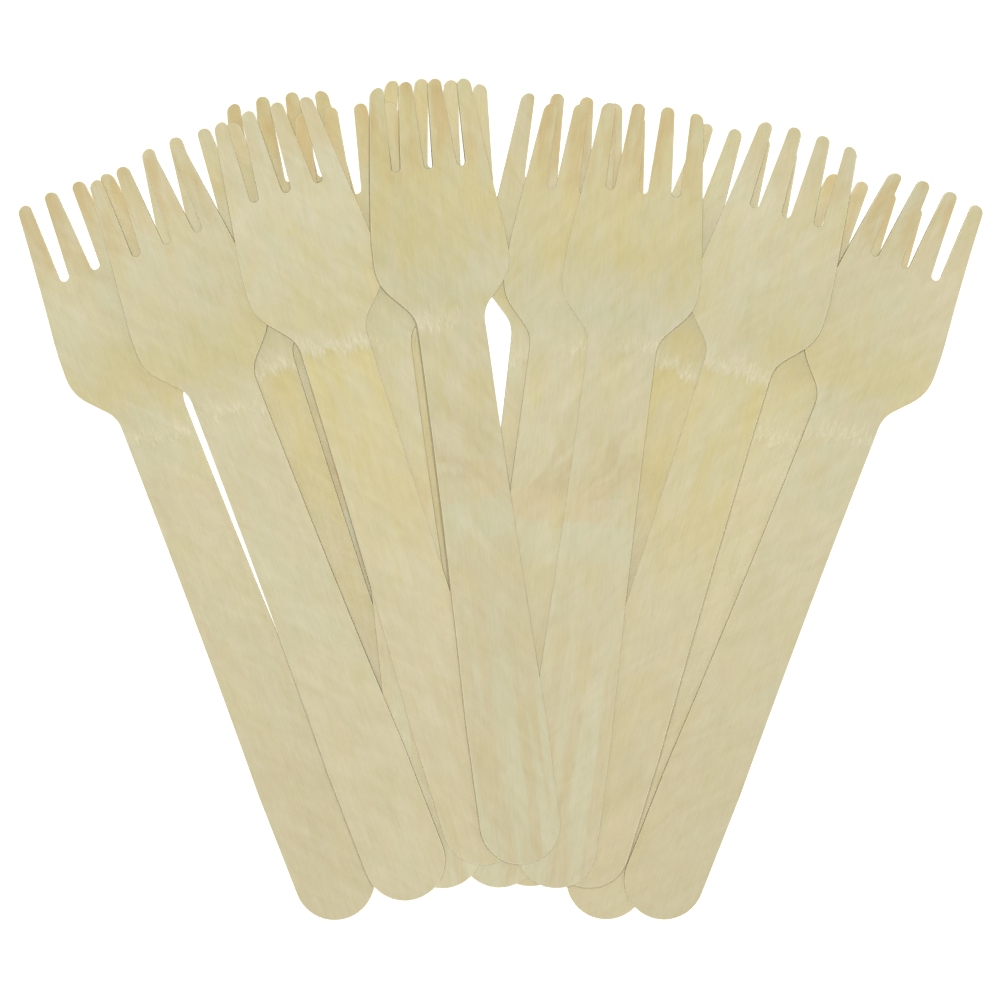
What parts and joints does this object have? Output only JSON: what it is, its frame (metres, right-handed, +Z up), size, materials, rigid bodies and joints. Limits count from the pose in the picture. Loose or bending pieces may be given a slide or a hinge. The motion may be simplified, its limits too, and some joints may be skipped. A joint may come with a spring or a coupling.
{
  "type": "wooden fork pack",
  "caption": "Fanned pack of disposable birch forks with pressed heads and round handle ends, lying in a loose pile.",
  "frame": {"origin": "middle of the bounding box's bottom face, on the surface that the pile lies on", "axes": "+X to the right across the fan, +Y towards the tines, +Z up from the surface"},
  "size_m": [0.1962, 0.1716, 0.0199],
  "materials": {
    "birch": "unfinished smooth birch veneer"
  },
  "bodies": {
    "root": {"fork_01": "birch", "fork_02": "birch", "fork_03": "birch", "fork_04": "birch", "fork_05": "birch", "fork_06": "birch", "fork_07": "birch", "fork_08": "birch", "fork_09": "birch", "fork_10": "birch", "fork_11": "birch", "fork_12": "birch", "fork_13": "birch", "fork_14": "birch", "fork_15": "birch"}
  },
  "joints": []
}
